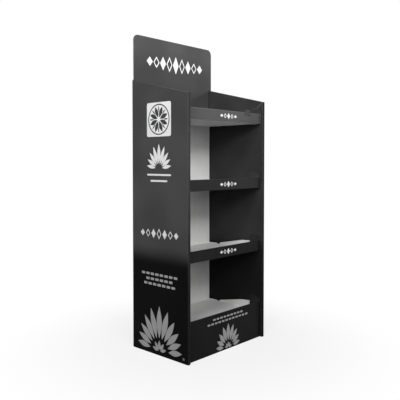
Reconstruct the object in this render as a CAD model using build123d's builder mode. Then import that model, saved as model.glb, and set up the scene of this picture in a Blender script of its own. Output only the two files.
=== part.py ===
"""Free-standing shelf display made of folded corrugated board.

A tall outer wrap makes the back and two hollow side walls. Four folded
trays hook into the walls and into a liner at the back. Each tray has a
printed front that rolls over its lip, a crate of crossed boards carries
the lowest tray, and a header card stands in a pocket behind the liner.

Frame: millimetres, +Z up, the open front faces -Y, and the origin is
the centre of the footprint on the floor.
"""
from build123d import *
import math
import os

# Footprint
width = 600.0
depth = 400.0

# Board and fits
board = 3.0  # thickness of the corrugated board
play = 0.3  # gap between pieces that seat against each other
fold_radius = 3.5  # outer radius of a folded corner

# Levels, each set out from the one below it
base_front_top = 196.0  # top edge of the base front, above the floor
lower_pitch = 337.0  # from the top edge of one front to the next
middle_pitch = 343.0
top_pitch = 346.0
wall_front_rise = 64.0  # top front to the walls' front corners
wall_fall = 96.0  # of the walls' top edges, from back to front
header_rise = 234.0  # header card above the walls

# Side walls, double skinned, with a top edge that falls to the front
wall_thickness = 18.0
cap_tuck = 25.0  # flap of the top edge, tucked down inside the wall
end_gap = 1.0  # from the end of a flap or tab to the sheet that it points at

# Liner in front of the back panel
liner_setback = 10.0  # back of the stand to the liner's rear face

# Trays, each set out from the top edge of its front
front_height = 55.0  # of a rolled-over tray front
front_setback = 15.0  # front edge of the walls to the face of a tray front
floor_drop = 50.5  # top of a front to the tray's floor
gusset_rear_height = 4.0  # of the side flap at the back of a tray
gusset_knee_height = 39.0  # of the side flap where its top edge bends
gusset_knee_setback = 130.0  # face of a tray front to that bend

# Tabs that lock the trays
side_tab_width = 50.0
side_tab_length = 12.0
side_tab_inset = 38.0  # face of a tray front to the middle of the side tab
rear_side_tab_width = 26.0
rear_side_tab_inset = 72.0  # back edge of a tray to the middle of that tab
rear_tab_width = 60.0
rear_tab_spacing = 300.0
tab_corner = 4.0  # corner radius of every tab
lock_tab_width = 50.0
lock_tab_spacing = 260.0

# Ears of the tray fronts, folded back along the inside of the trays
ear_length = 66.0
ear_rise_rear = 30.0  # above the top edge of the front
ear_rise_middle = 28.0
ear_rise_front = 17.0
ear_shoulder = 24.0  # front of the ear to where its top edge starts to fall
ear_corner = 8.0

# Crate of crossed boards under the lowest tray
crate_long_spacing = 180.0
crate_cross_spacing = 140.0
base_return = 65.0  # side return of the base front

# Header card
header_side_inset = 3.0
header_corner = 30.0
header_gap = 0.5  # behind the liner
tongue_inset = 25.0  # outside of the stand to the edge of the tongue
tongue_chamfer = 15.0
tongue_notch_radius = 4.0

# Push rivets through the wall feet
rivet_y_inset = 30.0
rivet_height = 22.0
rivet_shank = 6.0
rivet_head = 14.0
rivet_head_height = 2.0
rivet_head_bevel = 1.2
rivet_pin = 5.0  # pin that spreads the tip, proud of the head
rivet_tip = 8.4
rivet_tip_length = 5.0
rivet_hole = 6.6

# Ticket clip on the top front
clip_width = 50.0
clip_offset = 166.0  # from the middle of the stand
clip_thickness = 1.0
clip_rise = 14.0
clip_drop = 16.0
clip_leg = 14.0
clip_lip = 2.5  # ledge that holds the ticket

# Heights that follow from the levels
lower_front_top = base_front_top + lower_pitch
middle_front_top = lower_front_top + middle_pitch
top_front_top = middle_front_top + top_pitch
wall_front_top = top_front_top + wall_front_rise
wall_back_top = wall_front_top + wall_fall
height = wall_back_top + header_rise
liner_top = top_front_top
front_tops = {
    "top": top_front_top,
    "middle": middle_front_top,
    "lower": lower_front_top,
}

# Lines that several pieces share
half_width = width / 2
half_depth = depth / 2
wall_inner_x = half_width - wall_thickness
piece_half_width = wall_inner_x - play
fold_middle = fold_radius - board / 2
back_inner_y = half_depth - board
liner_rear_y = half_depth - liner_setback
liner_front_y = liner_rear_y - board
tray_rear_y = liner_front_y - play
front_face_y = -half_depth + front_setback
lip_front_y = front_face_y + board + play
inner_panel_y = lip_front_y + board + play
ear_outer_x = piece_half_width - board - play
gusset_knee_y = front_face_y + gusset_knee_setback
side_tab_y = front_face_y + side_tab_inset
rear_side_tab_y = tray_rear_y - rear_side_tab_inset
side_tab_places = [
    (side_tab_y, side_tab_width),
    (rear_side_tab_y, rear_side_tab_width),
]
rear_tab_end_y = back_inner_y - end_gap
wall_slope = math.atan2(wall_back_top - wall_front_top, depth)
floor_tops = {name: top - floor_drop for name, top in front_tops.items()}
base_floor_top = base_front_top - floor_drop
all_floor_tops = [*floor_tops.values(), base_floor_top]
crate_height = base_floor_top - board - play
header_front_y = liner_rear_y + header_gap
rivet_y = -half_depth + rivet_y_inset


def wall_top_at(y):
    """Height of the walls' sloping top edge at a distance along the depth."""
    return wall_front_top + (y + half_depth) * math.tan(wall_slope)


def region_above_slope(plane, drop):
    """All that lies above the sloping edge, lowered by a drop, as a sketch."""
    over = 10.0
    front = -half_depth - over
    with BuildSketch(plane) as region:
        with BuildLine():
            Polyline(
                (front, wall_top_at(front) - drop),
                (back_inner_y, wall_top_at(back_inner_y) - drop),
                (back_inner_y, height),
                (front, height),
                close=True,
            )
        make_face()
    return region.sketch


def tuck_end_region(front_end, rear_end):
    """Stretch of the tuck flaps that would meet another fold of the sheet."""
    drop = board / math.cos(wall_slope)
    with BuildSketch(Plane.YZ) as region:
        with BuildLine():
            Polyline(
                (front_end, wall_top_at(front_end) - drop),
                (rear_end, wall_top_at(rear_end) - drop),
                (rear_end, wall_top_at(rear_end) - 2 * cap_tuck),
                (front_end, wall_top_at(front_end) - 2 * cap_tuck),
                close=True,
            )
        make_face()
    return region.sketch


def make_wall_caps():
    """Top flaps that close the hollow walls and tuck down inside them."""
    cap_inner_x = wall_inner_x + board + play
    over = 20.0
    slope_length = depth / math.cos(wall_slope)
    down_slope = Plane(
        origin=(0, -half_depth, wall_front_top),
        x_dir=(1, 0, 0),
        z_dir=(0, -math.cos(wall_slope), -math.sin(wall_slope)),
    )
    front_end = tuck_end_region(-half_depth, -half_depth + board + play)
    rear_end = tuck_end_region(back_inner_y - board - 2 * play, half_depth)
    with BuildPart() as caps:
        with BuildSketch(down_slope.offset(over)) as section:
            with BuildLine():
                Polyline(
                    (half_width, -board),
                    (half_width, 0),
                    (cap_inner_x, 0),
                    (cap_inner_x, -cap_tuck),
                    (cap_inner_x + board, -cap_tuck),
                    (cap_inner_x + board, -board),
                    close=True,
                )
            make_face()
            fillet(section.vertices().group_by(Axis.Y)[-1], board * 0.9)
            mirror(about=Plane.YZ)
        extrude(amount=-(slope_length + 2 * over))
        with BuildSketch(Plane.XY):
            RectangleRounded(width, depth, fold_radius)
        extrude(amount=height, mode=Mode.INTERSECT)
        extrude(front_end, amount=width, both=True, mode=Mode.SUBTRACT)
        extrude(rear_end, amount=width, both=True, mode=Mode.SUBTRACT)
    return caps


def make_body_wrap():
    """Back panel and both hollow side walls, folded from one sheet."""
    inner_x = wall_inner_x + board / 2
    outer_x = half_width - board / 2
    front_y = -half_depth + board / 2
    back_y = half_depth - board / 2
    flap_y = back_inner_y - play - board / 2
    flap_end_x = half_width - board - end_gap
    right_half = [
        (outer_x, back_y),
        (outer_x, front_y),
        (inner_x, front_y),
        (inner_x, flap_y),
        (flap_end_x, flap_y),
    ]
    left_half = [(-x, y) for x, y in reversed(right_half)]
    caps = make_wall_caps()
    skin_x = wall_inner_x + board + play / 2
    skin_drop = board / math.cos(wall_slope)
    over_wall = region_above_slope(Plane.YZ, 0)
    over_right_skin = region_above_slope(Plane.YZ.offset(skin_x), skin_drop)
    over_left_skin = region_above_slope(Plane.YZ.offset(-skin_x), skin_drop)
    with BuildPart() as wrap:
        with BuildSketch():
            with BuildLine() as sheet:
                FilletPolyline(*left_half, *right_half, radius=fold_middle)
            trace(sheet.line, line_width=board)
        extrude(amount=wall_back_top)
        # The whole wall follows the slope, and its outer skin and front
        # strip stop under the cap
        extrude(over_wall, amount=width, both=True, mode=Mode.SUBTRACT)
        extrude(over_right_skin, amount=wall_thickness, mode=Mode.SUBTRACT)
        extrude(over_left_skin, amount=-wall_thickness, mode=Mode.SUBTRACT)
        add(caps.part)
        # Slots for the side tabs, in the inner skins only
        for floor_top in all_floor_tops:
            for tab_y, tab_width in side_tab_places:
                with Locations((0, tab_y, floor_top - board / 2)):
                    with GridLocations(2 * inner_x, 0, 2, 1):
                        Box(
                            board + 2 * play,
                            tab_width + 2 * play,
                            board + 2 * play,
                            mode=Mode.SUBTRACT,
                        )
        # Rivet holes through both skins of each wall
        with Locations((0, rivet_y, rivet_height)):
            Cylinder(
                rivet_hole / 2, width, rotation=(0, 90, 0), mode=Mode.SUBTRACT
            )
    return wrap


def make_back_liner():
    """White sheet in front of the back panel, with returns at its sides."""
    middle_x = piece_half_width - board / 2
    middle_y = liner_front_y + board / 2
    return_y = back_inner_y - play
    with BuildPart() as liner:
        with BuildSketch():
            with BuildLine() as sheet:
                FilletPolyline(
                    (-middle_x, return_y),
                    (-middle_x, middle_y),
                    (middle_x, middle_y),
                    (middle_x, return_y),
                    radius=fold_middle,
                )
            trace(sheet.line, line_width=board)
        extrude(amount=liner_top)
        for floor_top in all_floor_tops:
            with Locations((0, middle_y, floor_top - board / 2)):
                with GridLocations(rear_tab_spacing, 0, 2, 1):
                    Box(
                        rear_tab_width + 2 * play,
                        board + 2 * play,
                        board + 2 * play,
                        mode=Mode.SUBTRACT,
                    )
    return liner


def make_tray(floor_top):
    """Folded tray: floor, front lip, tapering side gussets and tabs."""
    floor_bottom = floor_top - board
    lip_top = floor_top + floor_drop - board - play
    rear_tab_length = rear_tab_end_y - tray_rear_y
    rise_start_y = rear_side_tab_y + rear_side_tab_width / 2
    with BuildPart() as tray:
        with BuildSketch(Plane.YZ):
            with BuildLine():
                Polyline(
                    (lip_front_y, floor_bottom),
                    (tray_rear_y, floor_bottom),
                    (tray_rear_y, floor_top + gusset_rear_height),
                    (rise_start_y, floor_top + gusset_rear_height),
                    (gusset_knee_y, floor_top + gusset_knee_height),
                    (lip_front_y + board, lip_top),
                    (lip_front_y, lip_top),
                    close=True,
                )
            make_face()
        extrude(amount=piece_half_width, both=True)
        front_corners = tray.edges().filter_by(Axis.Z).group_by(Axis.Y)[0]
        bottom_edges = tray.faces().sort_by(Axis.Z)[0].edges()
        folds = bottom_edges.sort_by(Axis.Y)[:-1] + front_corners
        fillet(folds, fold_radius)
        # Hollow inside, open at the top and towards the liner
        with BuildSketch(Plane.XY.offset(floor_top)):
            with Locations((0, (lip_front_y + board + tray_rear_y) / 2 + board)):
                Rectangle(
                    2 * (piece_half_width - board),
                    tray_rear_y - lip_front_y + board,
                )
        extrude(amount=floor_drop, mode=Mode.SUBTRACT)
        # Rear tabs hook through the liner
        with BuildSketch(Plane.XY.offset(floor_bottom)) as rear_tabs:
            with Locations((0, tray_rear_y)):
                with GridLocations(rear_tab_spacing, 0, 2, 1):
                    Rectangle(rear_tab_width, 2 * rear_tab_length)
            fillet(rear_tabs.vertices(), tab_corner)
        extrude(amount=board)
        # Side tabs are cut out of the gussets and pass through the walls
        for tab_y, tab_width in side_tab_places:
            with Locations((0, tab_y, floor_top)):
                with GridLocations(2 * piece_half_width, 0, 2, 1):
                    Box(
                        2 * board + play,
                        tab_width,
                        side_tab_length,
                        align=(Align.CENTER, Align.CENTER, Align.MIN),
                        mode=Mode.SUBTRACT,
                    )
        with BuildSketch(Plane.XY.offset(floor_bottom)) as side_tabs:
            for tab_y, tab_width in side_tab_places:
                with Locations((0, tab_y)):
                    with GridLocations(2 * piece_half_width, 0, 2, 1):
                        Rectangle(2 * side_tab_length, tab_width)
            fillet(side_tabs.vertices(), tab_corner)
        extrude(amount=board)
        # Slots in the floor for the lock tabs of the rolled-over front
        with Locations((0, inner_panel_y + board / 2, floor_top - board / 2)):
            with GridLocations(lock_tab_spacing, 0, 2, 1):
                Box(
                    lock_tab_width + 2 * play,
                    board + 2 * play,
                    2 * board,
                    mode=Mode.SUBTRACT,
                )
    return tray


def make_front(front_top, front_bottom):
    """Printed front that rolls over a tray's lip, with ears and lock tabs."""
    floor_top = front_top - floor_drop
    outer_y = front_face_y + board / 2
    inner_y = inner_panel_y + board / 2
    panel_bottom = floor_top + play
    ear_rear_y = front_face_y + ear_length
    with BuildPart() as front:
        with BuildSketch(Plane.YZ):
            with BuildLine() as roll:
                FilletPolyline(
                    (outer_y, front_bottom),
                    (outer_y, front_top - board / 2),
                    (inner_y, front_top - board / 2),
                    (inner_y, panel_bottom),
                    radius=fold_middle,
                )
            trace(roll.line, line_width=board)
        extrude(amount=piece_half_width, both=True)
        # The inner panel is narrower, so that it fits between the gussets
        with Locations((0, inner_panel_y, panel_bottom)):
            with GridLocations(2 * ear_outer_x + wall_thickness, 0, 2, 1):
                Box(
                    wall_thickness,
                    2 * (board + play),
                    floor_drop - play - board,
                    align=(Align.CENTER, Align.CENTER, Align.MIN),
                    mode=Mode.SUBTRACT,
                )
        # Ears, one at each end of the inner panel
        with BuildSketch(Plane.YZ.offset(ear_outer_x - board)) as ear:
            with BuildLine():
                Polyline(
                    (inner_panel_y, panel_bottom),
                    (ear_rear_y, panel_bottom),
                    (ear_rear_y, front_top + ear_rise_rear),
                    (front_face_y + ear_shoulder, front_top + ear_rise_middle),
                    (front_face_y, front_top + ear_rise_front),
                    (front_face_y, front_top - board),
                    (inner_panel_y, front_top - board),
                    close=True,
                )
            make_face()
            fillet(ear.vertices().group_by(Axis.Y)[-1], ear_corner)
        extrude(amount=board)
        mirror(about=Plane.YZ)
        # Lock tabs drop through the tray's floor
        with Locations((0, inner_y, panel_bottom)):
            with GridLocations(lock_tab_spacing, 0, 2, 1):
                Box(
                    lock_tab_width,
                    board,
                    board + play,
                    align=(Align.CENTER, Align.CENTER, Align.MAX),
                )
    return front


def make_base_front():
    """Tall front down to the floor, with returns along the wall feet."""
    front = make_front(base_front_top, 0)
    middle_x = piece_half_width - board / 2
    middle_y = front_face_y + board / 2
    return_y = front_face_y + base_return
    with BuildPart() as base:
        add(front.part)
        # Below the tray the ends fold back, so the square ends come off
        with Locations((0, middle_y, 0)):
            Box(
                width,
                2 * board,
                crate_height,
                align=(Align.CENTER, Align.CENTER, Align.MIN),
                mode=Mode.SUBTRACT,
            )
        with BuildSketch():
            with BuildLine() as sheet:
                FilletPolyline(
                    (-middle_x, return_y),
                    (-middle_x, middle_y),
                    (middle_x, middle_y),
                    (middle_x, return_y),
                    radius=fold_middle,
                )
            trace(sheet.line, line_width=board)
        extrude(amount=crate_height)
        with Locations((0, rivet_y, rivet_height)):
            Cylinder(
                rivet_hole / 2, width, rotation=(0, 90, 0), mode=Mode.SUBTRACT
            )
    return base


def make_crate_board(place, length, slot_pitch, slot_count, slots_up):
    """Board on edge along a plane's X, slotted to half its height."""
    slot_depth = crate_height / 2 + play
    slot_z = crate_height if slots_up else 0
    slot_align = Align.MAX if slots_up else Align.MIN
    with BuildPart(place) as crate_board:
        Box(
            length,
            board,
            crate_height,
            align=(Align.CENTER, Align.CENTER, Align.MIN),
        )
        with Locations((0, 0, slot_z)):
            with GridLocations(slot_pitch, 0, slot_count, 1):
                Box(
                    board + 2 * play,
                    2 * board,
                    slot_depth,
                    align=(Align.CENTER, Align.CENTER, slot_align),
                    mode=Mode.SUBTRACT,
                )
    return crate_board


def make_header_card():
    """Header with round top corners, shoulders and a tongue for the pocket."""
    shoulder_z = wall_top_at(header_front_y + board) + play
    tongue_bottom = floor_tops["top"] + play
    upper_half = half_width - header_side_inset
    tongue_half = half_width - tongue_inset
    right_edge = [
        (tongue_half, tongue_bottom),
        (tongue_half, shoulder_z),
        (upper_half, shoulder_z),
        (upper_half, height),
    ]
    left_edge = [(-x, z) for x, z in reversed(right_edge)]
    with BuildPart() as header:
        with BuildSketch(Plane.XZ.offset(-header_front_y)) as card:
            with BuildLine():
                Polyline(*right_edge, *left_edge, close=True)
            make_face()
            fillet(card.vertices().group_by(Axis.Y)[-1], header_corner)
            shoulder_line = card.vertices().group_by(Axis.Y)[1]
            fillet(shoulder_line.sort_by(Axis.X)[1:3], tongue_notch_radius)
            chamfer(card.vertices().group_by(Axis.Y)[0], tongue_chamfer)
        extrude(amount=-board)
    return header


def make_push_rivet(side):
    """Plastic rivet through both wall skins and the return of the base."""
    head = rivet_head / 2
    shank = rivet_shank / 2
    tip = rivet_tip / 2
    pin = rivet_pin / 2
    head_x = half_width + play / 2
    crown_x = head_x + rivet_head_height - play
    grip_end = piece_half_width - board - play
    tip_end = grip_end - rivet_tip_length
    outwards = Plane(
        origin=(0, rivet_y, rivet_height), x_dir=(side, 0, 0), z_dir=(0, -side, 0)
    )
    with BuildPart() as rivet:
        with BuildSketch(outwards):
            with BuildLine():
                Polyline(
                    (tip_end, 0),
                    (tip_end, shank * 0.6),
                    (grip_end - board / 2, tip),
                    (grip_end, shank),
                    (head_x, shank),
                    (head_x, head),
                    (head_x + rivet_head_height / 4, head),
                    (crown_x, head - rivet_head_bevel),
                    (crown_x, pin),
                    (crown_x + play, pin),
                    (crown_x + play, 0),
                    close=True,
                )
            make_face()
        revolve(axis=Axis(outwards.origin, outwards.x_dir))
    return rivet


def make_ticket_clip():
    """Plastic clip that hooks over the top front and holds a ticket."""
    top = top_front_top
    half = clip_thickness / 2
    plate_y = front_face_y - play - half
    leg_y = inner_panel_y + board + play + half
    bridge_z = top + play + half
    with BuildPart() as clip:
        with BuildSketch(Plane.YZ.offset(clip_offset - clip_width / 2)):
            with BuildLine() as plate:
                Polyline(
                    (plate_y, top + clip_rise),
                    (plate_y, top - clip_drop),
                    (plate_y - clip_lip, top - clip_drop),
                    (plate_y - clip_lip, top - clip_drop + clip_lip),
                )
            trace(plate.line, line_width=clip_thickness)
            with BuildLine() as hook:
                Polyline(
                    (plate_y, bridge_z),
                    (leg_y, bridge_z),
                    (leg_y, top - clip_leg),
                )
            trace(hook.line, line_width=clip_thickness)
        extrude(amount=clip_width)
    return clip


def save(piece, name):
    """Label a finished piece and write it as one STEP file."""
    piece.part.label = name
    export_step(piece.part, f"parts/{name}.step")


os.makedirs("parts", exist_ok=True)

save(make_body_wrap(), "body_wrap")
save(make_back_liner(), "back_liner")
save(make_header_card(), "header_card")

for level, floor_level in floor_tops.items():
    save(make_tray(floor_level), f"{level}_tray")
    front_level = front_tops[level]
    save(make_front(front_level, front_level - front_height), f"{level}_front")

save(make_tray(base_floor_top), "base_tray")
save(make_base_front(), "base_front")

# Crate: two long boards slotted from below over three cross boards
cross_front_y = front_face_y + board + play
cross_length = tray_rear_y - cross_front_y
crate_middle_y = (cross_front_y + tray_rear_y) / 2
for name, row in (("front", -1), ("rear", 1)):
    across = Plane(origin=(0, crate_middle_y + row * crate_long_spacing / 2, 0))
    long_board = make_crate_board(
        across, 2 * piece_half_width, crate_cross_spacing, 3, slots_up=False
    )
    save(long_board, f"crate_long_board_{name}")

for name, column in (("left", -1), ("middle", 0), ("right", 1)):
    along = Plane(
        origin=(column * crate_cross_spacing, crate_middle_y, 0),
        x_dir=(0, 1, 0),
    )
    cross_board = make_crate_board(
        along, cross_length, crate_long_spacing, 2, slots_up=True
    )
    save(cross_board, f"crate_cross_board_{name}")

save(make_push_rivet(-1), "push_rivet_left")
save(make_push_rivet(1), "push_rivet_right")
save(make_ticket_clip(), "ticket_clip")
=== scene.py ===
# %% [markdown]
# # A printed cardboard display stand
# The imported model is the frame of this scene. It holds every folded sheet of the
# stand at its real size, so nothing here moves or resizes a sheet. What is added
# is what the maker adds after cutting and folding: print, varnish, the look of
# raw board edges, and the studio that the stand is photographed in.

# %% Load the frame
import math

import bmesh
import bpy
import numpy as np
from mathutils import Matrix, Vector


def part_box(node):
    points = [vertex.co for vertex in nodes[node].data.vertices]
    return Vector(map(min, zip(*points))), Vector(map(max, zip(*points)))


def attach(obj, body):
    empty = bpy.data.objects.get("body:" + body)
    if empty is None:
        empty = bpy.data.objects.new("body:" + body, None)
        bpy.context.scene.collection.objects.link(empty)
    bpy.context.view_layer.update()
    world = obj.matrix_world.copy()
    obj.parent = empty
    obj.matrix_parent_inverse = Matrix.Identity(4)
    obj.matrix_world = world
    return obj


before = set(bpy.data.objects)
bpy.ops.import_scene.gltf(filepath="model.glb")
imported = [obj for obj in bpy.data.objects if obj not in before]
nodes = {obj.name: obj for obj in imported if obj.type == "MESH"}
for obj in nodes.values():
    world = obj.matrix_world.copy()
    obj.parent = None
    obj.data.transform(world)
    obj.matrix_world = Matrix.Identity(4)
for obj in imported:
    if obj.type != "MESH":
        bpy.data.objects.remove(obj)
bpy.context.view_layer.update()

scene = bpy.context.scene
MM = 0.001
print("sheets and small parts:", len(nodes))

# %% [markdown]
# ## Sizes read from the frame
# A print on a sheet needs the place of that sheet's face. Reading the places from
# the frame, and not typing them again, keeps the print on its sheet when the
# stand is made wider or taller. Only the gauge of the board and the thickness of a
# hollow wall are typed. A hair's breadth is the slack for telling whether a point
# lies on a face, and a clear millimetre for telling that it is well off it.

# %% Faces and levels
wrap_low, wrap_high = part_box("body_wrap")
header_low, header_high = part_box("header_card")
front_names = ("top_front", "middle_front", "lower_front")
front_boxes = {name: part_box(name) for name in (*front_names, "base_front")}

BOARD = 3.0 * MM
WALL = 18.0 * MM
HAIR = 0.1 * MM
CLEAR = 1 * MM
side_face = wrap_low.x
front_edge_face = wrap_low.y
header_face = header_low.y
tray_front_face = front_boxes["top_front"][0].y


def node_points(name):
    """All corner points of a node's mesh as an array of rows x, y, z."""
    mesh = nodes[name].data
    points = np.empty(len(mesh.vertices) * 3)
    mesh.vertices.foreach_get("co", points)
    return points.reshape(-1, 3)


def roll_top(name):
    """Height of the fold along a tray front, without its ears, which stand inside its ends."""
    points = node_points(name)
    ends = points[:, 0] > points[:, 0].max() - HAIR
    return points[ends, 2].max()


def ear_inside(name):
    """Distance from the middle of the stand to the inner face of an ear."""
    points = node_points(name)
    return np.abs(points[points[:, 2] > roll_top(name) + BOARD, 0]).min()


wrap_points = node_points("body_wrap")
wall_front_top = wrap_points[wrap_points[:, 1] < front_edge_face + CLEAR, 2].max()
wall_back_top = wrap_high.z
print(f"walls rise from {wall_front_top:.3f} m at the front to {wall_back_top:.3f} m")

# %% [markdown]
# ## The camera
# The photographer stood in front of the stand and to its left, with the lens at
# about the height of the middle shelf. The place and the lens were worked out
# from the stand's own corners. The lens is tilted down by two degrees, and the
# rest of the framing is shift, which keeps the upright edges almost parallel. The
# focal length, and the row of the picture that lies level with the lens, are given
# in pixels.

# %% Camera at the photograph's angle
PICTURE_SIDE = 400
FOCAL_LENGTH = 550.4
LENS_ROW = 180.6
CAMERA_PLACE = (-2.1436, -1.9881, 0.9644)
CAMERA_TURN = -47.117
CAMERA_DIP = 2.0

camera_data = bpy.data.cameras.new("studio_camera")
camera_data.sensor_width = 36.0
camera_data.lens = FOCAL_LENGTH / PICTURE_SIDE * camera_data.sensor_width
camera_data.shift_y = (LENS_ROW - PICTURE_SIDE / 2) / PICTURE_SIDE
camera = bpy.data.objects.new("studio_camera", camera_data)
camera.location = CAMERA_PLACE
camera.rotation_euler = (math.radians(90.0 - CAMERA_DIP), 0.0, math.radians(CAMERA_TURN))
scene.collection.objects.link(camera)
scene.camera = camera
print(f"lens {camera_data.lens:.1f} mm, shift {camera_data.shift_y:.3f}")

# %% [markdown]
# ## Building materials with nodes
# Every material below is a small graph. One helper adds a node, sets its options
# and fills its sockets, either with a constant or with a link from another node.
# That keeps each graph short enough to read from top to bottom.


# %% Node helpers
def fill(tree, socket, value):
    """Gives an input a constant, or links it to another node's output."""
    if isinstance(value, bpy.types.NodeSocket):
        tree.links.new(value, socket)
    else:
        socket.default_value = value


def add_node(tree, kind, inputs=None, **settings):
    """Adds one node. Inputs maps a socket's name or number to a value or to another socket."""
    made = tree.nodes.new(kind)
    for key, value in settings.items():
        setattr(made, key, value)
    for key, value in (inputs or {}).items():
        fill(tree, made.inputs[key], value)
    return made


def group_node(tree, group, inputs):
    """Places a shared group and fills its named inputs."""
    return add_node(tree, "ShaderNodeGroup", inputs, node_tree=group)


def math_node(tree, operation, first, second=0.0, third=0.0, clamp=False):
    """One arithmetic step, given as the name of the operation and its numbers.

    MULTIPLY_ADD multiplies the first two and adds the third. The others use two.
    """
    made = add_node(tree, "ShaderNodeMath", {0: first, 1: second, 2: third}, operation=operation)
    made.use_clamp = clamp
    return made.outputs[0]


def ramp(tree, value, low, high, start=0.0, end=1.0):
    """A soft step: start below low, end above high, and a smooth S curve between them."""
    made = add_node(
        tree,
        "ShaderNodeMapRange",
        {"Value": value, "From Min": low, "From Max": high, "To Min": start, "To Max": end},
        interpolation_type="SMOOTHSTEP",
    )
    return made.outputs["Result"]


def mix_colour(tree, factor, first, second):
    """First colour where the factor is 0, second colour where it is 1."""
    made = add_node(tree, "ShaderNodeMix", {"Factor": factor}, data_type="RGBA")
    for key, value in (("A_Color", first), ("B_Color", second)):
        fill(tree, next(s for s in made.inputs if s.identifier == key), value)
    return next(s for s in made.outputs if s.identifier == "Result_Color")


def grey(level, warmth=0.0):
    """A linear colour of one brightness. Warmth leans it a little to red and away from blue."""
    return (level * (1 + warmth), level, level * (1 - warmth), 1.0)


print("a white of 0.74 is the colour", grey(0.74))

# %% [markdown]
# ## Floor, backdrop and lamps
# A product picture like this is taken on a white sweep. The floor is a large pale
# disc that takes the stand's soft shadow, and fades to plain white further out,
# where it meets the world's white. What the camera and reflections see as white
# is only their view of it: the light on the stand comes from a dimmer sky and
# from soft lamps. A high lamp on the left throws the shadow of each shelf into the
# bay below it. A narrow one lifts the header and the upper bays, a low one in front
# fills the shade, and a wide one further round grazes the side.


# %% World and floor
def seen_directly(tree):
    """1 for camera, mirror and see-through rays, which look at the background, else 0."""
    rays = add_node(tree, "ShaderNodeLightPath")
    mirrored = math_node(
        tree, "ADD", rays.outputs["Is Glossy Ray"], rays.outputs["Is Transmission Ray"]
    )
    return math_node(tree, "ADD", rays.outputs["Is Camera Ray"], mirrored, clamp=True)


SKY_LIGHT = 0.17
world = bpy.data.worlds.new("white_studio")
scene.world = world
world.use_nodes = True
world.node_tree.nodes.clear()
sky = add_node(
    world.node_tree, "ShaderNodeBackground", {"Color": grey(1.0), "Strength": SKY_LIGHT}
)
sweep = add_node(
    world.node_tree, "ShaderNodeBackground", {"Color": grey(1.0), "Strength": 1.0}
)
sky_or_sweep = add_node(
    world.node_tree,
    "ShaderNodeMixShader",
    {0: seen_directly(world.node_tree), 1: sky.outputs[0], 2: sweep.outputs[0]},
)
add_node(world.node_tree, "ShaderNodeOutputWorld", {"Surface": sky_or_sweep.outputs[0]})


def mesh_object(name, points, faces, material):
    """Puts arrays of points and faces into a new mesh, and links it as an object at the origin."""
    mesh = bpy.data.meshes.new(name)
    mesh.from_pydata(np.asarray(points).tolist(), [], np.asarray(faces).tolist())
    mesh.update()
    made = bpy.data.objects.new(name, mesh)
    scene.collection.objects.link(made)
    made.data.materials.append(material)
    return made


FLOOR_SEEN = 0.97
FLOOR_BOUNCE = 0.30


def floor_material(fade_start, fade_end, white_share):
    """Pale matt paint that fades to plain white between two distances from the middle.

    The share says how much plain white is mixed in already before the fade starts.
    The eye sees the paint as near white, while the light that it throws back on the
    stand is that of a mid grey, as from a floor far larger than the lit part of it.
    """
    made = bpy.data.materials.new("studio_floor")
    made.use_nodes = True
    tree = made.node_tree
    tree.nodes.clear()
    place = add_node(tree, "ShaderNodeTexCoord").outputs["Object"]
    reach = add_node(tree, "ShaderNodeVectorMath", {0: place}, operation="LENGTH")
    fade = ramp(tree, reach.outputs["Value"], fade_start, fade_end, white_share)
    seen = seen_directly(tree)
    factor = math_node(tree, "MULTIPLY", fade, seen)
    tone = mix_colour(tree, seen, grey(FLOOR_BOUNCE), grey(FLOOR_SEEN))
    paint = add_node(tree, "ShaderNodeBsdfDiffuse", {"Color": tone})
    white = add_node(tree, "ShaderNodeEmission", {"Color": grey(1.0), "Strength": 1.0})
    mixed = add_node(
        tree, "ShaderNodeMixShader", {0: factor, 1: paint.outputs[0], 2: white.outputs[0]}
    )
    add_node(tree, "ShaderNodeOutputMaterial", {"Surface": mixed.outputs[0]})
    return made


def disc(radius, height, count=96):
    """Points on a circle around the origin, evenly spaced in angle, and the one face they bound."""
    angle = np.linspace(0.0, 2 * np.pi, count, endpoint=False)
    rim = np.stack(
        [radius * np.cos(angle), radius * np.sin(angle), np.full(count, height)], axis=1
    )
    return rim, [list(range(count))]


FLOOR_RADIUS = 9.0
BELOW_FEET = -0.3 * MM
floor_paint = floor_material(0.30, 1.15, 0.78)
floor = mesh_object("studio_floor", *disc(FLOOR_RADIUS, BELOW_FEET), floor_paint)
print("floor radius", FLOOR_RADIUS, "m, sky light", SKY_LIGHT)


# %% Lamps
def soft_lamp(name, place, aim, side, power, beam=180.0):
    """A square soft box at a place, turned so that it faces the point it aims at.

    The side is its width in metres, and the power is in watts. A grid on its front
    narrows the beam to an angle, given in degrees.
    """
    data = bpy.data.lights.new(name, "AREA")
    data.shape = "SQUARE"
    data.size = side
    data.energy = power
    data.spread = math.radians(beam)
    made = bpy.data.objects.new(name, data)
    toward = Vector(aim) - Vector(place)
    made.location = place
    made.rotation_euler = toward.to_track_quat("-Z", "Y").to_euler()
    scene.collection.objects.link(made)


ABOVE_HEADER = (0.0, 0.0, 1.7)
SHELVES = (0.0, 0.0, 1.2)
MIDDLE = (0.0, 0.0, 0.8)
soft_lamp("lift_soft_box", (-1.65, -2.86, 2.6), ABOVE_HEADER, side=1.0, power=13.2, beam=60.0)
soft_lamp("high_left_soft_box", (-2.86, -1.65, 3.4), SHELVES, side=1.0, power=71.0)
soft_lamp("low_front_soft_box", (-0.85, -3.19, 1.7), SHELVES, side=1.0, power=17.6)
soft_lamp("side_soft_box", (-3.2, 1.6, 2.2), MIDDLE, side=1.6, power=8.0)

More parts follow.
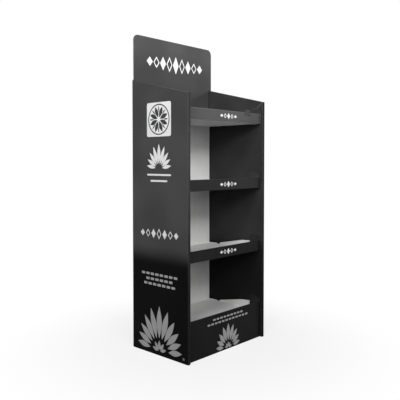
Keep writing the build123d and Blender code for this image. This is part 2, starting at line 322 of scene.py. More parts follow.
# %% [markdown]
# ## Effects that several boards share
# All the sheets are the same corrugated board, so the small things that give
# board away are built once, as node groups. The face group gives the fine paper
# fibres, the faint ripple of the flutes below the paper, and the slow waviness
# of a large sheet. The edge group draws the wave of the fluting on a raw cut.
# The wear group turns the distance to a fold into scuffed patches.


# %% Group for the face of corrugated board
def new_group(name, inputs, outputs):
    """An empty shader node group with named number or vector sockets, and its two ends."""
    group = bpy.data.node_groups.new(name, "ShaderNodeTree")
    for label, kind, start in inputs:
        socket = group.interface.new_socket(label, in_out="INPUT", socket_type=kind)
        socket.default_value = start
    for label, kind in outputs:
        group.interface.new_socket(label, in_out="OUTPUT", socket_type=kind)
    return group, add_node(group, "NodeGroupInput"), add_node(group, "NodeGroupOutput")


NUMBER = "NodeSocketFloat"
VECTOR = "NodeSocketVector"
FLUTE_PITCH = 6.3 * MM
FLUTE_TURNS = 2 * math.pi / FLUTE_PITCH
RIPPLE_HEIGHT = 0.012 * MM
FIBRE_HEIGHT = 0.02 * MM
WAVE_HEIGHT = 3.0 * MM

board_face, face_in, face_out = new_group(
    "board_face",
    [
        ("Place", VECTOR, (0.0, 0.0, 0.0)),
        ("Across Flutes", NUMBER, 0.0),
        ("Ripple", NUMBER, 1.0),
        ("Waviness", NUMBER, 1.0),
    ],
    [("Height", NUMBER), ("Mottle", NUMBER), ("Cloud", NUMBER), ("Fibre", NUMBER)],
)


def noise(tree, place, scale, detail=2.0, roughness=0.5):
    """Soft random shades between 0 and 1. Scale is the number of patches in one metre."""
    made = add_node(
        tree,
        "ShaderNodeTexNoise",
        {"Vector": place, "Scale": scale, "Detail": detail, "Roughness": roughness},
    )
    return made.outputs["Fac"]


place = face_in.outputs["Place"]
turns = math_node(board_face, "MULTIPLY", face_in.outputs["Across Flutes"], FLUTE_TURNS)
flute_wave = math_node(board_face, "SINE", turns)
ripple = math_node(board_face, "MULTIPLY", flute_wave, face_in.outputs["Ripple"])
ripple = math_node(board_face, "MULTIPLY", ripple, RIPPLE_HEIGHT)
fibre = noise(board_face, place, 900.0, 3.0, 0.6)
fibre_height = math_node(board_face, "MULTIPLY", fibre, FIBRE_HEIGHT)
slow = noise(board_face, place, 5.0, 1.0, 0.4)
slow = math_node(board_face, "MULTIPLY", slow, face_in.outputs["Waviness"])
slow = math_node(board_face, "MULTIPLY", slow, WAVE_HEIGHT)
height = math_node(board_face, "ADD", ripple, fibre_height)
height = math_node(board_face, "ADD", height, slow)
board_face.links.new(height, face_out.inputs["Height"])
board_face.links.new(noise(board_face, place, 14.0, 4.0, 0.55), face_out.inputs["Mottle"])
board_face.links.new(noise(board_face, place, 4.0, 1.5, 0.5), face_out.inputs["Cloud"])
board_face.links.new(fibre, face_out.inputs["Fibre"])
print("group", board_face.name, "with", len(board_face.nodes), "nodes")

# %% Group for the raw cut edge of corrugated board
LINER_PAPER = 0.45 * MM
FLUTE_PAPER = 0.4 * MM
HOLLOW_DEPTH = 0.8 * MM

cut_edge, cut_in, cut_out = new_group(
    "cut_edge",
    [("Along", NUMBER, 0.0), ("Depth", NUMBER, 0.0)],
    [("Hollow", NUMBER), ("Height", NUMBER)],
)
along = math_node(cut_edge, "MULTIPLY", cut_in.outputs["Along"], FLUTE_TURNS)
swing = math_node(cut_edge, "SINE", along)
swing = math_node(cut_edge, "MULTIPLY", swing, BOARD / 2 - LINER_PAPER)
from_middle = math_node(cut_edge, "SUBTRACT", cut_in.outputs["Depth"], BOARD / 2)
from_wave = math_node(cut_edge, "SUBTRACT", from_middle, swing)
from_wave = math_node(cut_edge, "ABSOLUTE", from_wave)
off_wave = ramp(cut_edge, from_wave, FLUTE_PAPER, 2 * FLUTE_PAPER)
off_liner = math_node(cut_edge, "ABSOLUTE", from_middle)
inside = ramp(cut_edge, off_liner, BOARD / 2 - LINER_PAPER, BOARD / 2, 1.0, 0.0)
hollow = math_node(cut_edge, "MULTIPLY", off_wave, inside)
cut_edge.links.new(hollow, cut_out.inputs["Hollow"])
sunk = math_node(cut_edge, "MULTIPLY", hollow, -HOLLOW_DEPTH)
cut_edge.links.new(sunk, cut_out.inputs["Height"])
print("group", cut_edge.name, "with", len(cut_edge.nodes), "nodes")

# %% Group for scuffs along a fold
fold_wear, wear_in, wear_out = new_group(
    "fold_wear",
    [("Place", VECTOR, (0.0, 0.0, 0.0)), ("Distance", NUMBER, 0.0), ("Width", NUMBER, 3 * MM)],
    [("Wear", NUMBER)],
)
near = math_node(fold_wear, "DIVIDE", wear_in.outputs["Distance"], wear_in.outputs["Width"])
near = ramp(fold_wear, near, 0.0, 1.0, 1.0, 0.0)
patches = noise(fold_wear, wear_in.outputs["Place"], 60.0, 5.0, 0.65)
patches = ramp(fold_wear, patches, 0.42, 0.68)
fold_wear.links.new(math_node(fold_wear, "MULTIPLY", near, patches), wear_out.inputs["Wear"])
print("group", fold_wear.name, "with", len(fold_wear.nodes), "nodes")

# %% [markdown]
# ## Black printed board
# The outside of the stand is board faced with paper that is printed black and
# sealed with a satin varnish. Its tone runs from charcoal at the top to black at
# the foot, and the charcoal top is a painted reflection of the light above in the
# satin. A scanned texture could give that, but a graph is sharper and has no seams.
# It asks four things of a point: how dark the ink and its painted light are there,
# how far the next fold is, whether it lies on a raw cut, and which way the surface
# faces. The face group adds the paper, and the wear group shows it where the folds
# are rubbed.


# %% Place and direction of a point
def place_parts(tree):
    """The point on the surface, in metres from the origin, and its three coordinates."""
    place = add_node(tree, "ShaderNodeTexCoord").outputs["Object"]
    split = add_node(tree, "ShaderNodeSeparateXYZ", {0: place})
    return place, split.outputs["X"], split.outputs["Y"], split.outputs["Z"]


def normal_parts(tree):
    """The direction that the surface faces, as the sizes of its three parts without sign."""
    turned = add_node(
        tree,
        "ShaderNodeVectorTransform",
        {0: add_node(tree, "ShaderNodeNewGeometry").outputs["Normal"]},
        vector_type="NORMAL",
        convert_from="WORLD",
        convert_to="OBJECT",
    )
    split = add_node(tree, "ShaderNodeSeparateXYZ", {0: turned.outputs[0]})
    return [math_node(tree, "ABSOLUTE", split.outputs[k]) for k in "XYZ"]


def faces_along(tree, part):
    """1 where the surface faces along an axis: a soft step over that part of its direction."""
    return ramp(tree, part, 0.6, 0.8)


def turned_from(tree, part):
    """1 where that part is small, as on the rim of a sheet: the same step, falling and lower."""
    return ramp(tree, part, 0.2, 0.5, 1.0, 0.0)


def corner_distance(tree, first, first_at, second, second_at):
    """Distance to a straight line: the root of the two squared distances across it."""
    off = [
        math_node(tree, "POWER", math_node(tree, "SUBTRACT", value, at), 2.0)
        for value, at in ((first, first_at), (second, second_at))
    ]
    return math_node(tree, "SQRT", math_node(tree, "ADD", *off))


def smallest(tree, values):
    """The smallest of several numbers."""
    result = values[0]
    for value in values[1:]:
        result = math_node(tree, "MINIMUM", result, value)
    return result


def step(tree, value, limit, over=True):
    """1 where the value is over the limit, else 0, or the other way round."""
    return math_node(tree, "GREATER_THAN" if over else "LESS_THAN", value, limit)


def blend(tree, factor, first, second):
    """First number where the factor is 0, second number where it is 1."""
    made = add_node(tree, "ShaderNodeMix", {0: factor, 2: first, 3: second}, data_type="FLOAT")
    return made.outputs[0]


print("helpers for places are ready")


# %% Start and end of a material
def new_material(name):
    """An empty material with its node tree."""
    made = bpy.data.materials.new(name)
    made.use_nodes = True
    made.node_tree.nodes.clear()
    return made, made.node_tree


def finish_material(tree, colour, roughness, height, specular, coat=None, coat_roughness=0.3):
    """Ends a graph in the shader: colour, roughness, bump, and a varnish coat if there is one."""
    bump = add_node(
        tree, "ShaderNodeBump", {"Height": height, "Strength": 1.0, "Distance": 1.0}
    )
    shader = add_node(
        tree,
        "ShaderNodeBsdfPrincipled",
        {
            "Base Color": colour,
            "Roughness": roughness,
            "Normal": bump.outputs["Normal"],
            "Specular IOR Level": specular,
            "Coat Roughness": coat_roughness,
        },
    )
    if coat is not None:
        tree.links.new(coat, shader.inputs["Coat Weight"])
    add_node(tree, "ShaderNodeOutputMaterial", {"Surface": shader.outputs[0]})
    return shader


print("helpers for materials are ready")

# %% One printed board
BLACK = grey(0.0)
WHITE = grey(1.0)
RUBBED = grey(0.30)
# Painted shade in the hollows of the flutes on a raw cut.
PAINTED_HOLLOW_SHADE = grey(0.03)
# Painted highlight along the folds: its core, its reach, and how much lighter the ink is painted.
FOLD_HIGHLIGHT_CORE = 0.3 * MM
FOLD_HIGHLIGHT_REACH = 2.6 * MM
FOLD_HIGHLIGHT_LIFT = 2.1
WORN_SHARE = 0.15


def printed_board(name, tone_and_painted_light, folds, raw_edge, across, paper_tone=0.30):
    """Black print on board.

    The tone function gives the brightness of the ink and the weight of the varnish at
    each point, with painted reflection and painted light and shade in the brightness.
    Folds gives the distance to the nearest fold, and the ink is painted lighter from
    the highlight's reach to its core, a painted highlight along the fold. Raw_edge gives
    the mask, length and depth of the raw cuts, whose paper has the paper tone, with
    painted shade in the hollows of the flutes. Across names the axis across the flutes.
    """
    made, tree = new_material(name)
    place, *axes = place_parts(tree)
    facing = normal_parts(tree)
    face = group_node(
        tree, board_face, {"Place": place, "Across Flutes": axes["XYZ".index(across)]}
    )
    mottle = ramp(tree, face.outputs["Mottle"], 0.3, 0.7)
    cloud = ramp(tree, face.outputs["Cloud"], 0.3, 0.7, 0.86, 1.14)
    level, varnish = tone_and_painted_light(tree, axes, facing)
    level = math_node(tree, "MULTIPLY", level, cloud)
    varnish = math_node(tree, "MULTIPLY", varnish, cloud, clamp=True)
    away = folds(tree, *axes)
    # Painted highlight: the ink is painted lighter near each fold.
    pressed = ramp(tree, away, FOLD_HIGHLIGHT_CORE, FOLD_HIGHLIGHT_REACH, FOLD_HIGHLIGHT_LIFT, 1.0)
    ink = mix_colour(tree, math_node(tree, "MULTIPLY", level, pressed), BLACK, WHITE)
    wear = group_node(tree, fold_wear, {"Place": place, "Distance": away})
    worn = math_node(tree, "MULTIPLY", wear.outputs["Wear"], WORN_SHARE)
    ink = mix_colour(tree, worn, ink, RUBBED)
    mask, along, depth = raw_edge(tree, axes, facing)
    cut = group_node(tree, cut_edge, {"Along": along, "Depth": depth})
    # The flute hollows of a cut get painted shade.
    paper = mix_colour(tree, cut.outputs["Hollow"], grey(paper_tone, 0.03), PAINTED_HOLLOW_SHADE)
    colour = mix_colour(tree, mask, ink, paper)
    roughness = math_node(tree, "MULTIPLY", mottle, 0.1)
    roughness = math_node(tree, "ADD", roughness, 0.42)
    height = math_node(tree, "MULTIPLY", cut.outputs["Height"], mask)
    height = math_node(tree, "ADD", height, face.outputs["Height"])
    finish_material(
        tree, colour, roughness, height, specular=0.02, coat=varnish, coat_roughness=0.25
    )
    return made


print("rubbed folds show paper of", RUBBED[0])

# %% [markdown]
# ## Where each sheet is folded and cut
# A fold presses the board, and along it the ink is painted lighter, a painted
# highlight where the rounded fold catches the light. A cut shows the wave between
# the two papers. Both could be painted by hand on the unfolded sheet. The sheets
# stand square to the axes, so the place of a point already says how far it is from
# a fold and whether it lies on a cut. Two functions for each sheet work that out,
# and they stay right when a size changes.

# %% Folds and cuts of the wrap
TOP_SLOPE = (wall_back_top - wall_front_top) / (wrap_high.y - front_edge_face)
MITRE_REACH = 40 * MM
MITRE_FALL = 31 * MM
MARK_REACH = 74 * MM
MARK_FALL = 35 * MM
MITRE_SHARE = 0.4


def mitre_distance(tree, across, y, z):
    """Distance to the pressed lines where the tuck of the wall's cap is mitred at the front.

    One line starts in the upper front corner of the inner skin and falls backwards. A
    short level one runs on from its lower end. Across a line, the distance is that of a
    point to a line, and past its ends or off the inner skin it is made large.
    """
    back = math_node(tree, "SUBTRACT", y, front_edge_face)
    down = math_node(tree, "SUBTRACT", wall_front_top, z)
    length = math.hypot(MITRE_REACH, MITRE_FALL)
    first = math_node(tree, "MULTIPLY", back, MITRE_FALL / length)
    second = math_node(tree, "MULTIPLY", down, MITRE_REACH / length)
    slanting = math_node(tree, "ABSOLUTE", math_node(tree, "SUBTRACT", first, second))
    slanting = math_node(tree, "ADD", slanting, step(tree, back, MITRE_REACH))
    mark = math_node(tree, "ABSOLUTE", math_node(tree, "SUBTRACT", down, MARK_FALL))
    before = step(tree, back, MITRE_REACH, over=False)
    beyond = step(tree, back, MARK_REACH)
    mark = math_node(tree, "ADD", mark, math_node(tree, "MAXIMUM", before, beyond))
    outer = step(tree, across, -side_face - WALL + CLEAR)
    return math_node(tree, "ADD", math_node(tree, "MINIMUM", slanting, mark), outer)


def wrap_folds(tree, x, y, z):
    """Folds of the wrap: upright ones at the corners, and the sloping ones of the caps.

    The pressed lines of the mitre are wider, so only a share of their distance counts.
    """
    across = math_node(tree, "ABSOLUTE", x)
    upright = [
        corner_distance(tree, across, -side_face, y, front_edge_face),
        corner_distance(tree, across, -side_face, y, wrap_high.y),
        corner_distance(tree, across, -side_face - WALL, y, front_edge_face),
    ]
    back = math_node(tree, "SUBTRACT", y, front_edge_face)
    below = math_node(tree, "MULTIPLY_ADD", back, -TOP_SLOPE, z)
    caps = [
        corner_distance(tree, across, edge, below, wall_front_top)
        for edge in (-side_face, -side_face - WALL)
    ]
    away = smallest(tree, [*upright, *caps])
    # The painted fold highlight also follows the pressed lines of the mitre.
    mitre = mitre_distance(tree, across, y, z)
    return math_node(tree, "MINIMUM", away, math_node(tree, "MULTIPLY", mitre, MITRE_SHARE))


def wrap_cuts(tree, axes, facing):
    """Raw cuts of the wrap: upward faces of the inner skins and of the back panel."""
    x, y, z = axes
    upward = faces_along(tree, facing[2])
    across = math_node(tree, "ABSOLUTE", x)
    inner_skin = step(tree, across, -side_face - WALL + BOARD + HAIR, over=False)
    back = step(tree, y, wrap_high.y - BOARD - HAIR)
    low = step(tree, z, CLEAR, over=False)
    mask = math_node(tree, "MAXIMUM", math_node(tree, "MAXIMUM", inner_skin, back), low)
    mask = math_node(tree, "MULTIPLY", mask, upward)
    skin_depth = math_node(tree, "SUBTRACT", across, -side_face - WALL)
    back_depth = math_node(tree, "SUBTRACT", wrap_high.y, y)
    return mask, blend(tree, back, y, x), blend(tree, back, skin_depth, back_depth)


print("the tops of the walls rise by", round(TOP_SLOPE, 3), "for each metre back")

# %% Folds and cuts of the fronts and the header
ROLL_DEPTH = 9.6 * MM


def front_folds(top, half_width):
    """Folds of a tray front: the two along its top, and the one at each end of its face."""

    def distance(tree, x, y, z):
        across = math_node(tree, "ABSOLUTE", x)
        roll = [
            corner_distance(tree, y, tray_front_face + back, z, top)
            for back in (0.0, ROLL_DEPTH)
        ]
        end = corner_distance(tree, across, half_width, y, tray_front_face)
        return smallest(tree, [*roll, end])

    return distance


def front_cuts(bottom, top, ear):
    """Raw cuts of a tray front: the lower edge of its face, and the rim of each ear."""

    def cuts(tree, axes, facing):
        x, y, z = axes
        low = step(tree, z, bottom + 2 * HAIR, over=False)
        face_sheet = step(tree, y, tray_front_face + BOARD + HAIR, over=False)
        lower_edge = math_node(tree, "MULTIPLY", low, face_sheet)
        lower_edge = math_node(tree, "MULTIPLY", lower_edge, faces_along(tree, facing[2]))
        across = math_node(tree, "ABSOLUTE", x)
        rim = step(tree, across, ear - HAIR)
        rim = math_node(tree, "MULTIPLY", rim, turned_from(tree, facing[0]))
        free = math_node(
            tree,
            "MAXIMUM",
            step(tree, y, tray_front_face + ROLL_DEPTH + CLEAR),
            step(tree, z, top + CLEAR),
        )
        rim = math_node(tree, "MULTIPLY", rim, free)
        rim_depth = math_node(tree, "SUBTRACT", across, ear)
        face_depth = math_node(tree, "SUBTRACT", y, tray_front_face)
        mask = math_node(tree, "MAXIMUM", lower_edge, rim)
        return mask, blend(tree, rim, x, y), blend(tree, rim, face_depth, rim_depth)

    return cuts


def header_folds(tree, x, y, z):
    """The header has no fold, so the nearest one is far away."""
    return 1.0


def header_cuts(tree, axes, facing):
    """Raw cuts of the header: all round its rim. The wave shows only where the flutes end."""
    rim = turned_from(tree, facing[1])
    along = math_node(tree, "MULTIPLY", axes[0], step(tree, facing[2], 0.4))
    return rim, along, math_node(tree, "SUBTRACT", axes[1], header_face)


print("the roll of a tray front is", round(ROLL_DEPTH / MM, 1), "mm deep")

# %% [markdown]
# ## How dark each sheet looks, with its painted reflection
# The stand is charcoal on its upper half and black near its foot, and the two go
# over into each other without a line. The black is the print, and the charcoal top
# is a painted reflection of the light above in the satin varnish. A picture of the
# gradient could be laid on each sheet. Here the height of a point gives it, so that
# all the sheets agree, and each sheet only adds what is its own: its tone and its
# varnish.


# %% Tones of the print
def wrap_tone_and_painted_light(tree, axes, facing):
    """Charcoal above the knee of a person, black below, and a soft straight step between.

    The charcoal top is a painted reflection of the light above in the satin. The
    inner skins are painted a little lighter, painted light in the bays. On the strips
    along the front, the step is much longer, and the right one is darker than the left
    one: painted light and shade on the strips.
    """
    across = math_node(tree, "ABSOLUTE", axes[0])
    inside = step(tree, across, -side_face - WALL / 2, over=False)
    inside = math_node(tree, "MULTIPLY", inside, faces_along(tree, facing[0]))
    forward = faces_along(tree, facing[1])
    forward = math_node(tree, "MULTIPLY", forward, step(tree, axes[1], 0.0, over=False))
    # Painted reflection: the lighter charcoal above the step stands in for the sheen of the satin.
    panel_height = ramp(tree, axes[2], 0.450, 0.558)
    strip_height = ramp(tree, axes[2], 0.20, 1.05)
    height = blend(tree, forward, panel_height, strip_height)
    # The inner skins are painted lighter than the outside: painted light in the bays.
    charcoal = blend(tree, inside, 0.0345, 0.037)
    black = blend(tree, inside, 0.004, 0.014)
    level = blend(tree, height, black, charcoal)
    satin = blend(tree, forward, 0.5, 0.25)
    varnish = blend(tree, inside, math_node(tree, "MULTIPLY", height, satin), 0.02)
    # Painted light and shade on the front strips: the left one lighter near the foot, the right one
    # darker towards the top.
    left_strip_painted_light = blend(tree, height, 0.0135, -0.0035)
    right_strip_painted_shade = blend(tree, height, 0.0, -0.0305)
    sideways = ramp(tree, axes[0], -0.2, 0.2, left_strip_painted_light, right_strip_painted_shade)
    level = math_node(tree, "MULTIPLY_ADD", forward, sideways, third=level)
    return level, varnish


def header_tone_and_painted_light(tree, axes, facing):
    """Charcoal, lighter towards the top and the right end."""
    # Painted reflection: the lighter top and right end stand in for the sheen of the varnish.
    level = ramp(tree, axes[2], 1.42, 1.58, 0.036, 0.069)
    side = ramp(tree, axes[0], -0.1, 0.3, 0.0, 0.005)
    return math_node(tree, "ADD", level, side), 0.55


def front_tone(face_level, face_varnish, ear_level):
    """One tone on the face, another on the ears, which turn to the side."""

    def tone(tree, axes, facing):
        ear = faces_along(tree, facing[0])
        level = blend(tree, ear, face_level, ear_level)
        return level, blend(tree, ear, face_varnish, 0.4)

    return tone


# Ink and varnish of the face, and ink of the ears. Their levels fall from the top front to the base
# front: a painted reflection, as on the wrap.
FRONT_TONES = {
    "top_front": (0.060, 0.55, 0.041),
    "middle_front": (0.014, 0.24, 0.045),
    "lower_front": (0.009, 0.12, 0.026),
    "base_front": (0.0095, 0.06, 0.014),
}
print("tones of the tray fronts:", len(FRONT_TONES))

# %% Make the printed boards
CUT_LIGHTER = 0.012
wrap_print = printed_board("wrap_print", wrap_tone_and_painted_light, wrap_folds, wrap_cuts, "Y")
header_print = printed_board("header_print", header_tone_and_painted_light, header_folds, header_cuts, "X")
front_prints = {}
for name, face_tones in FRONT_TONES.items():
    low, high = front_boxes[name]
    front_prints[name] = printed_board(
        name + "_print",
        front_tone(*face_tones),
        front_folds(roll_top(name), high.x),
        front_cuts(low.z, roll_top(name), ear_inside(name)),
        "X",
        paper_tone=face_tones[0] + CUT_LIGHTER,
    )
print("printed boards:", 2 + len(front_prints))

# %% [markdown]
# ## White and brown board
# The liner and the trays are bleached white inside and out, with a matt surface.
# The hidden crate under the base tray is plain brown board. Both are paper
# without ink, so colour comes from the fibres: slightly uneven, slightly warm. Each
# sheet could have a graph of its own, but they differ only in colour and in where
# their raw cuts lie, so one function makes them all from these two.


# %% Materials for unprinted board
SPECK_SHADE = 0.7
# Painted shade in the hollows of the flutes on a raw cut, as a share of the colour.
PAINTED_HOLLOW_SHARE = 0.12


def shaded(colour, share):
    """A colour darkened to a share of its brightness, as the four numbers of a socket."""
    return (*(part * share for part in colour), 1.0)


def plain_board(name, colour, shade, raw_edge, across):
    """Unprinted board: the colour, darkened by the shade where the fibres lie thinner."""
    made, tree = new_material(name)
    place, *axes = place_parts(tree)
    face = group_node(
        tree,
        board_face,
        {"Place": place, "Across Flutes": axes["XYZ".index(across)], "Waviness": 0.6},
    )
    mottle = ramp(tree, face.outputs["Mottle"], 0.25, 0.75)
    clean = mix_colour(tree, mottle, shaded(colour, shade), shaded(colour, 1.0))
    specks = ramp(tree, face.outputs["Fibre"], 0.30, 0.42, 0.25, 0.0)
    clean = mix_colour(tree, specks, clean, shaded(colour, SPECK_SHADE))
    mask, along, depth = raw_edge(tree, axes, normal_parts(tree))
    cut = group_node(tree, cut_edge, {"Along": along, "Depth": depth})
    hollow = math_node(tree, "MULTIPLY", cut.outputs["Hollow"], mask)
    # The flute hollows of a cut get painted shade.
    tone = mix_colour(tree, hollow, clean, shaded(colour, PAINTED_HOLLOW_SHARE))
    height = math_node(tree, "MULTIPLY", cut.outputs["Height"], mask)
    height = math_node(tree, "ADD", height, face.outputs["Height"])
    roughness = math_node(tree, "MULTIPLY_ADD", mottle, 0.12, 0.55)
    finish_material(tree, tone, roughness, height, specular=0.35)
    return made


TRAY_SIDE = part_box("base_tray")[1].x
liner_low, liner_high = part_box("back_liner")


def tray_cuts(tree, axes, facing):
    """Raw cuts of a tray: the sloping upper edges of its side gussets."""
    across = math_node(tree, "ABSOLUTE", axes[0])
    gusset = step(tree, across, TRAY_SIDE - BOARD - HAIR)
    edge = turned_from(tree, facing[0])
    mask = math_node(tree, "MULTIPLY", gusset, edge)
    return mask, axes[1], math_node(tree, "SUBTRACT", TRAY_SIDE, across)


def liner_cuts(tree, axes, facing):
    """Raw cuts of the liner: its upper edge, and those of its two returns."""
    x, y, z = axes
    mask = step(tree, z, liner_high.z - 2 * HAIR)
    return mask, x, math_node(tree, "SUBTRACT", y, liner_low.y)


def board_top_cuts(thin_axis, face_at):
    """Raw cuts of a crate board: its upper and lower edges, across its thin axis."""

    def cuts(tree, axes, facing):
        mask = faces_along(tree, facing[2])
        depth = math_node(tree, "SUBTRACT", axes[thin_axis], face_at)
        return mask, axes[1 - thin_axis], depth

    return cuts


WHITE_PAPER = (0.74, 0.74, 0.735)
BROWN_PAPER = (0.46, 0.31, 0.19)
tray_white = plain_board("tray_white", WHITE_PAPER, 0.94, tray_cuts, "X")
liner_white = plain_board("liner_white", WHITE_PAPER, 0.94, liner_cuts, "X")
print("tray side at", round(TRAY_SIDE, 4), "liner top at", round(liner_high.z, 4))

# %% [markdown]
# ## Small plastic parts
# Two push rivets close the folded walls at the foot, and a smoked clip on the top
# front holds a price ticket. Both are moulded, so they are smooth, with a slight
# cloud of fine scratches in the roughness. The clip lets a little light through.


# %% Materials for the plastics
SCRATCH_DEPTH = 0.01 * MM


def moulded(name, colour, roughness, alpha=1.0):
    """Moulded plastic: one colour, and a roughness that drifts slowly over the surface."""
    made, tree = new_material(name)
    place = place_parts(tree)[0]
    cloud = noise(tree, place, 300.0, 4.0, 0.6)
    varied = ramp(tree, cloud, 0.3, 0.7, roughness, roughness + 0.15)
    tint = mix_colour(tree, cloud, shaded(colour, 0.92), shaded(colour, 1.0))
    height = math_node(tree, "MULTIPLY", cloud, SCRATCH_DEPTH)
    shader = finish_material(tree, tint, varied, height, specular=0.15)
    shader.inputs["Alpha"].default_value = alpha
    return made


rivet_plastic = moulded("rivet_plastic", (0.17, 0.17, 0.168), 0.4)
clip_plastic = moulded("clip_plastic", (0.100, 0.100, 0.102), 0.4, alpha=0.3)
print("plastics: rivet and clip")

# %% [markdown]
# ## Dress the sheets
# A node of the frame keeps its mesh and only gets a better finish, by putting the
# material into the slot of its object. The crate boards lie two ways, so each one
# gets the brown board whose raw edges run along it.


# %% Give every node its finish
def dress(name, material):
    """Puts one material into every slot of a node, or adds it where there is no slot."""
    slots = nodes[name].material_slots
    if not slots:
        nodes[name].data.materials.append(material)
    for slot in slots:
        slot.material = material


dress("body_wrap", wrap_print)
dress("header_card", header_print)
dress("back_liner", liner_white)
for name, material in front_prints.items():
    dress(name, material)
    dress(name.replace("front", "tray"), tray_white)
for name in [n for n in nodes if n.startswith("crate_")]:
    thin_axis = 1 if "long" in name else 0
    cuts = board_top_cuts(thin_axis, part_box(name)[0][thin_axis])
    dress(name, plain_board(name + "_brown", BROWN_PAPER, 0.85, cuts, "Z"))
dress("push_rivet_left", rivet_plastic)
dress("push_rivet_right", rivet_plastic)
dress("ticket_clip", clip_plastic)
print("dressed:", sum(len(o.material_slots) > 0 for o in nodes.values()), "nodes")

# %% [markdown]
# ## The printed ornament
# The print is a plain ornament of lozenges, bars and fans of petals, white on the
# upper part and silver near the foot. Ink has almost no thickness, so it could
# be painted by a material. Thin raised shapes keep a sharp outline at any size of
# picture and stay a separate layer, so that is the way taken here. Each shape
# is the strip between two edges, and both edges are worked out as whole arrays.

# %% Shapes between two edges
INK = 0.12 * MM
TIP = 0.15 * MM


def strip(left, right, closed=False):
    """A thin closed plate between two edges.

    Each station gives four corners: left and right on the face, then left and right
    on the underside. Corners of neighbouring stations make the four walls, and the two
    end stations are capped unless the strip closes on itself.
    """
    left, right = np.asarray(left, float), np.asarray(right, float)
    count = len(left)
    corners = np.zeros((count, 4, 3))
    corners[:, 0, :2] = corners[:, 3, :2] = left
    corners[:, 1, :2] = corners[:, 2, :2] = right
    corners[:, :2, 2] = INK
    first = np.arange(count if closed else count - 1)[:, None] * 4
    following = (first + 4) % (count * 4)
    k = np.arange(4)[None, :]
    after = (k + 1) % 4
    walls = np.stack([first + k, first + after, following + after, following + k], axis=2)
    faces = walls.reshape(-1, 4)
    if not closed:
        last = (count - 1) * 4
        faces = np.vstack([faces, [[0, 3, 2, 1]], [[last, last + 1, last + 2, last + 3]]])
    return corners.reshape(-1, 3), faces


def lozenge(at, width, height, hole=0.0):
    """A lozenge about a middle: its full width at half height, and a point at each end.

    With a hole, a smaller lozenge of that share is left open.
    """
    corner = np.array([(0, -0.5), (0.5, 0), (0, 0.5), (-0.5, 0)]) * (width, height)
    if hole:
        return strip(corner * hole + at, corner + at, closed=True)
    level = np.array([-0.5, 0.0, 0.5]) * height
    half = np.array([TIP, width / 2, TIP])
    return strip(np.stack([-half, level], 1) + at, np.stack([half, level], 1) + at)


def pad(at, width, height, corner, count=28):
    """A bar or tile with round corners.

    Half height at a distance u from the middle: half the height less the corner, plus
    the root of the corner squared less the square of how far u is into the corner.
    """
    u = np.sin(np.linspace(-np.pi / 2, np.pi / 2, count)) * width / 2
    into = np.maximum(np.abs(u) - (width / 2 - corner), 0.0)
    half = height / 2 - corner + np.sqrt(np.maximum(corner**2 - into**2, TIP**2))
    return strip(np.stack([u, half], 1) + at, np.stack([u, -half], 1) + at)


def ring(at, radius, width, count=64):
    """A circle line: the strip between two circles about one middle."""
    angle = np.linspace(0, 2 * np.pi, count, endpoint=False)
    spoke = np.stack([np.cos(angle), np.sin(angle)], 1)
    return strip(spoke * (radius - width) + at, spoke * radius + at, closed=True)


def petal(at, angle, start, end, width, count=17):
    """A petal along a spoke. Its width is the full width times the sine of half a turn."""
    t = np.linspace(0, 1, count)
    spoke = np.array([np.cos(angle), np.sin(angle)])
    side = np.array([-spoke[1], spoke[0]])
    half = np.maximum(np.sin(np.pi * t) * width / 2, TIP)[:, None]
    middle_line = at + spoke * (start + (end - start) * t)[:, None]
    return strip(middle_line + side * half, middle_line - side * half)


def fan(at, reach, inner, count, fullness=0.9):
    """Petals over half a turn. Each one ends on the ellipse that reach gives, sideways and up.

    The width is the fullness times the room between two spokes at the petal's middle.
    """
    made = []
    share = np.pi / count
    for angle in (np.arange(count) + 0.5) * share:
        end = 1 / np.hypot(np.cos(angle) / reach[0], np.sin(angle) / reach[1])
        width = fullness * share * (inner + end) / 2
        made.append(petal(at, angle, inner, end, width))
    return made


def bar_rows(across, rows, pitch, width, height, corner):
    """Rows of bars about a middle line. A row is its level and the number of its bars."""
    return [
        pad((across + off, level), width, height, corner)
        for level, count in rows
        for off in (np.arange(count) - (count - 1) / 2) * pitch
    ]


print("ornament shapes are ready")


# %% Put shapes on a sheet
def ink_material(name, tone):
    """Printing ink: one tone, mottled where it lies thinner over the fibres of the paper."""
    made, tree = new_material(name)
    place, *axes = place_parts(tree)
    face = group_node(tree, board_face, {"Place": place, "Across Flutes": axes[1]})
    thin = ramp(tree, face.outputs["Fibre"], 0.25, 0.45, 0.35, 0.0)
    colour = mix_colour(tree, thin, grey(tone), grey(tone * 0.6))
    roughness = ramp(tree, face.outputs["Mottle"], 0.3, 0.7, 0.42, 0.52)
    finish_material(tree, colour, roughness, face.outputs["Height"], specular=0.3)
    return made


def outward_normals(piece):
    """Turns every face of a closed mesh to the outside."""
    work = bmesh.new()
    work.from_mesh(piece.data)
    bmesh.ops.recalc_face_normals(work, faces=work.faces)
    work.to_mesh(piece.data)
    work.free()


def print_on(name, shapes, origin, right, material, layer=0):
    """Joins shapes into one piece on a sheet.

    A point is the origin, plus its first number along the sheet to the right, plus its
    second number upwards, plus its third along the outward direction, which is the
    cross product of right and up. A layer lies on the one below it.
    """
    right, up = np.array(right, float), np.array((0.0, 0.0, 1.0))
    outward = np.cross(right, up)
    points, faces, used = [], [], 0
    for corners, walls in shapes:
        points.append(corners)
        faces.append(walls + used)
        used += len(corners)
    flat = np.vstack(points) + (0, 0, layer * INK)
    turned = np.array(origin) + flat @ np.stack([right, up, outward])
    piece = mesh_object(name, turned, np.vstack(faces), material)
    outward_normals(piece)
    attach(piece, "root")
    print(name, "shapes", len(shapes), "faces", len(piece.data.polygons))


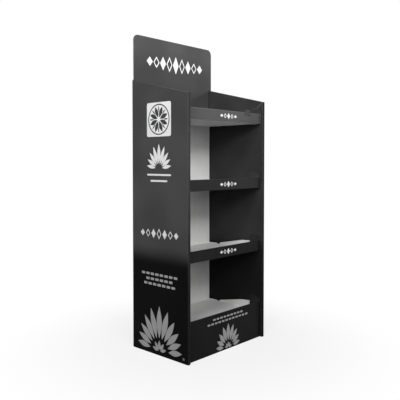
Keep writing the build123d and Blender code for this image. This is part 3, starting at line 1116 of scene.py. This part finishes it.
ink_white = ink_material("ink_white", 0.86)
ink_silver = ink_material("ink_silver", 0.42)
ink_black = ink_material("ink_black", 0.02)
LOOKING_BACK = (1.0, 0.0, 0.0)
LOOKING_RIGHT = (0.0, -1.0, 0.0)
print("inks: white, silver and black")

# %% [markdown]
# ## Ornament of the header and the tray fronts
# The header carries a band of lozenges, full and open by turns, which grow
# towards the middle. The three tray fronts carry a short row of the same
# lozenges, so the header and the shelves read as one set.


# %% Header band and front rows
def lozenge_row(at, count, pitch, width, height, growth, hole):
    """A row of lozenges, full and open by turns. Height falls off from the middle by growth."""
    made = []
    for k in range(count):
        off = k - (count - 1) / 2
        tall = height * (1 - growth * abs(off) / count)
        where = (at[0] + off * pitch, at[1])
        made.append(lozenge(where, width, tall, 0.0 if k % 2 == 0 else hole))
    return made


band_middle = header_high.z - 124 * MM
header_band = lozenge_row((6 * MM, band_middle), 9, 48 * MM, 43 * MM, 96 * MM, 1.1, 0.7)
print_on("header_ornament", header_band, (0, header_face, 0), LOOKING_BACK, ink_white)
for name in front_names:
    face_middle = (front_boxes[name][0].z + roll_top(name)) / 2
    row = lozenge_row((12 * MM, face_middle), 5, 27 * MM, 23 * MM, 32 * MM, 1.2, 0.6)
    print_on(name + "_ornament", row, (0, tray_front_face, 0), LOOKING_BACK, ink_white)

# %% [markdown]
# ## Ornament of the side panel
# The side has room for a column: a white tile with a round flower, a fan of
# petals, a row of lozenges, three rows of short bars, and a large silver fan that
# rises from the foot. Each motif could be drawn by hand as a curve. The shape
# functions are called with other sizes instead, so the column is a list of places
# and sizes, and the flower is printed in black on top of its tile.

# %% Side panel column
TILE_WIDTH = 172 * MM
BAR_HEIGHT = 9 * MM
BAR_CORNER = 4.4 * MM
tile_middle = (0.0, 1.170)
side_white = [pad(tile_middle, TILE_WIDTH, 168 * MM, 10 * MM)]
side_white += fan((0.0, 0.928), (87 * MM, 122 * MM), 24 * MM, 9)
side_white += [pad((0.0, 0.898), TILE_WIDTH, BAR_HEIGHT, BAR_CORNER)]
side_white += [pad((0.0, 0.868), 120 * MM, BAR_HEIGHT, BAR_CORNER)]
side_white += lozenge_row((0.0, 0.606), 7, 40 * MM, 32 * MM, 54 * MM, 0.9, 0.68)
print_on("side_ornament", side_white, (side_face, 0, 0), LOOKING_RIGHT, ink_white)

eighths = np.arange(8) * np.pi / 4
flower = [ring(tile_middle, 76 * MM, 6 * MM)]
flower += [petal(tile_middle, a, 10 * MM, 66 * MM, 22 * MM) for a in eighths + np.pi / 8]
flower += [petal(tile_middle, a, 34 * MM, 66 * MM, 7 * MM) for a in eighths]
print_on("side_tile_flower", flower, (side_face, 0, 0), LOOKING_RIGHT, ink_black, layer=1)

side_rows = ((0.402, 8), (0.377, 6), (0.352, 7))
fan_foot = (0.0, 0.020)
side_silver = bar_rows(0.0, side_rows, 33 * MM, 24 * MM, 12 * MM, 2 * MM)
side_silver += fan(fan_foot, (158 * MM, 226 * MM), 66 * MM, 11)
side_silver += fan(fan_foot, (50 * MM, 56 * MM), 8 * MM, 5)
print_on("side_foot_ornament", side_silver, (side_face, 0, 0), LOOKING_RIGHT, ink_silver)

# %% [markdown]
# ## Ornament of the base front
# The tall base front repeats the foot of the side at a smaller size: two rows of
# bars and a silver fan. The same functions draw it, so both sheets match.

# %% Base front
front_fan_foot = (12 * MM, 6 * MM)
base_marks = fan(front_fan_foot, (94 * MM, 126 * MM), 38 * MM, 9)
base_marks += fan(front_fan_foot, (28 * MM, 32 * MM), 4 * MM, 5)
base_rows = ((0.172, 9), (0.152, 12))
base_marks += bar_rows(12 * MM, base_rows, 27 * MM, 19 * MM, 9 * MM, 1.5 * MM)
print_on("base_ornament", base_marks, (0, tray_front_face, 0), LOOKING_BACK, ink_silver)

# %% [markdown]
# The picture keeps colours as they are written.

# %% Finish
scene.view_settings.view_transform = "Standard"
